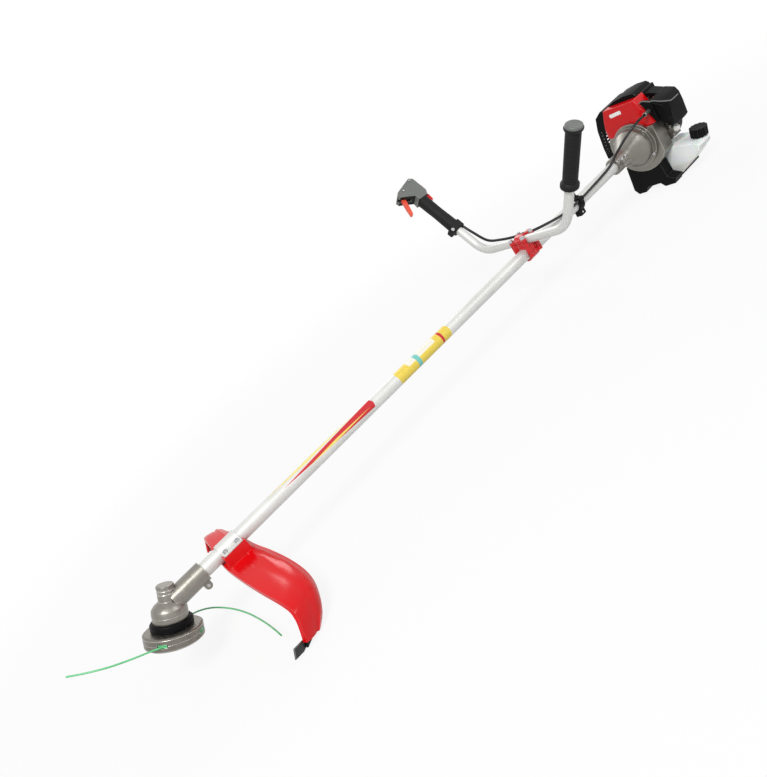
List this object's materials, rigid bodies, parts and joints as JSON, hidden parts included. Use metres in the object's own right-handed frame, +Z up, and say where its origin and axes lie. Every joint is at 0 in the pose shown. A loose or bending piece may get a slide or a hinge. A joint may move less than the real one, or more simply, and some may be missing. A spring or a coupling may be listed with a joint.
{
  "type": "brush cutter",
  "caption": "Petrol brush cutter with a straight tube, bevel gear head, line head with cutting line, red guard, bicycle handlebar with throttle grip, and a two-stroke engine on a stand",
  "frame": {"origin": "On the floor, at the centre of the rear foot of the engine stand, straight under the shaft axis", "axes": "+X runs along the tube from the cutting head to the engine, +Y points to the right of the person who holds the machine, +Z is up"},
  "size_m": [1.8327, 0.5857, 0.3897],
  "materials": {
    "cast_aluminium": "warm grey cast aluminium, lightly blasted",
    "head_alloy": "turned and cast aluminium",
    "steel": "machined steel",
    "silver_tube": "satin silver lacquer on aluminium tube",
    "black_plastic": "black moulded plastic",
    "blade_steel": "black painted steel blade",
    "rubber": "black rubber",
    "nylon_line": "green nylon line",
    "red_plastic": "glossy red moulded plastic",
    "red_paint": "red powder coat on cast aluminium",
    "grip_plastic": "dark grey moulded plastic",
    "orange_plastic": "orange red moulded plastic",
    "milky_plastic": "milky white blow-moulded plastic",
    "ceramic": "white glazed insulator"
  },
  "bodies": {
    "frame": {"gear_case": "cast_aluminium", "gear_cover": "cast_aluminium", "shaft_bearings": "steel", "spindle_bearings": "steel", "dust_ring": "black_plastic", "guard_shell": "red_plastic", "guard_clamp": "silver_tube", "line_knife": "blade_steel", "guard_flap": "rubber", "shaft_tube": "silver_tube", "shaft_bushes": "black_plastic", "hanger_clamp": "black_plastic", "handle_base": "red_paint", "handle_saddle": "red_paint", "handle_cap": "red_paint", "clamp_bolts": "steel", "handlebar": "silver_tube", "left_grip": "rubber", "throttle_shell": "grip_plastic", "throttle_lid": "grip_plastic", "throttle_cable": "black_plastic", "cover_screws": "steel", "clutch_housing": "cast_aluminium", "crankcase": "cast_aluminium", "piston_rod": "cast_aluminium", "cylinder_block": "cast_aluminium", "engine_cover": "red_plastic", "plug_cover": "black_plastic", "spark_plug": "ceramic", "muffler": "steel", "muffler_guard": "black_plastic", "carburettor": "cast_aluminium", "filter_case": "black_plastic", "filter_cover": "black_plastic", "starter_case": "black_plastic", "fuel_tank": "milky_plastic", "fuel_lines": "rubber", "engine_stand": "black_plastic"},
    "head": {"spindle": "steel", "crown_gear": "steel", "head_base": "head_alloy", "head_lid": "head_alloy", "head_fasteners": "steel", "line_front": "nylon_line", "line_rear": "nylon_line"},
    "drive": {"drive_shaft": "steel", "pinion": "steel", "clutch_drum": "steel"},
    "crank": {"crankshaft": "steel", "flywheel": "cast_aluminium", "clutch_shoes": "steel"},
    "trigger": {"throttle_trigger": "orange_plastic"},
    "lockout": {"trigger_lockout": "red_plastic"},
    "switch": {"stop_switch": "orange_plastic"},
    "barrel": {"throttle_barrel": "steel"},
    "choke": {"choke_lever": "grip_plastic"},
    "primer": {"primer_bulb": "milky_plastic"},
    "pulley": {"starter_pulley": "grip_plastic"},
    "pull": {"starter_handle": "black_plastic"},
    "cap": {"tank_cap": "black_plastic"}
  },
  "joints": [
    {"name": "head_spin", "type": "hinge", "parent": "frame", "child": "head", "pos_m": [-1.618, 0, 0.13], "axis": [0.5, 0, 0.866], "continuous": true},
    {"name": "shaft_spin", "type": "hinge", "parent": "frame", "child": "drive", "pos_m": [-1.618, 0, 0.13], "axis": [1, 0, 0], "continuous": true},
    {"name": "crank_spin", "type": "hinge", "parent": "frame", "child": "crank", "pos_m": [-0.118, 0, 0.13], "axis": [1, 0, 0], "continuous": true},
    {"name": "trigger_pull", "type": "hinge", "parent": "frame", "child": "trigger", "pos_m": [-0.59779, 0.27804, 0.3624], "axis": [0.04, -0.8192, 0.5722], "range_deg": [0, 28], "stiffness_Nm_per_rad": 0.4, "springref_deg": -20.05},
    {"name": "lockout_press", "type": "hinge", "parent": "frame", "child": "lockout", "pos_m": [-0.54955, 0.26657, 0.3426], "axis": [-0.04, 0.8192, -0.5722], "range_deg": [0, 8], "stiffness_Nm_per_rad": 0.5, "springref_deg": -22.92},
    {"name": "stop_slide", "type": "slide", "parent": "frame", "child": "switch", "axis": [0.0571, 0.5736, 0.8172], "range_m": [0, 0.008]},
    {"name": "barrel_turn", "type": "hinge", "parent": "frame", "child": "barrel", "pos_m": [-0.044, -0.06, 0.194], "axis": [0, 0, -1], "range_deg": [0, 60]},
    {"name": "choke_turn", "type": "hinge", "parent": "frame", "child": "choke", "pos_m": [-0.02, -0.072, 0.154], "axis": [0, -1, 0], "range_deg": [0, 50]},
    {"name": "primer_press", "type": "slide", "parent": "frame", "child": "primer", "axis": [0, 1, 0], "range_m": [0, 0.005], "stiffness_N_per_m": 400, "springref_m": -0.003},
    {"name": "starter_pull", "type": "slide", "parent": "frame", "child": "pull", "axis": [0, 0, 1], "range_m": [0, 0.6], "stiffness_N_per_m": 20, "springref_m": -0.15},
    {"name": "starter_turn", "type": "hinge", "parent": "frame", "child": "pulley", "pos_m": [0.012, 0, 0.13], "axis": [1, 0, 0], "range_deg": [0, 1570]},
    {"name": "cap_turn", "type": "hinge", "parent": "frame", "child": "cap", "pos_m": [-0.024, -0.101, 0.06875], "axis": [0, -0.2425, 0.9701], "range_deg": [0, 720]}
  ],
  "couplings": [
    {"joint": "shaft_spin", "follows": "head_spin", "ratio": 1.75},
    {"joint": "barrel_turn", "follows": "trigger_pull", "ratio": 2},
    {"joint": "starter_turn", "follows": "starter_pull", "rad_per_m": 45.455}
  ]
}
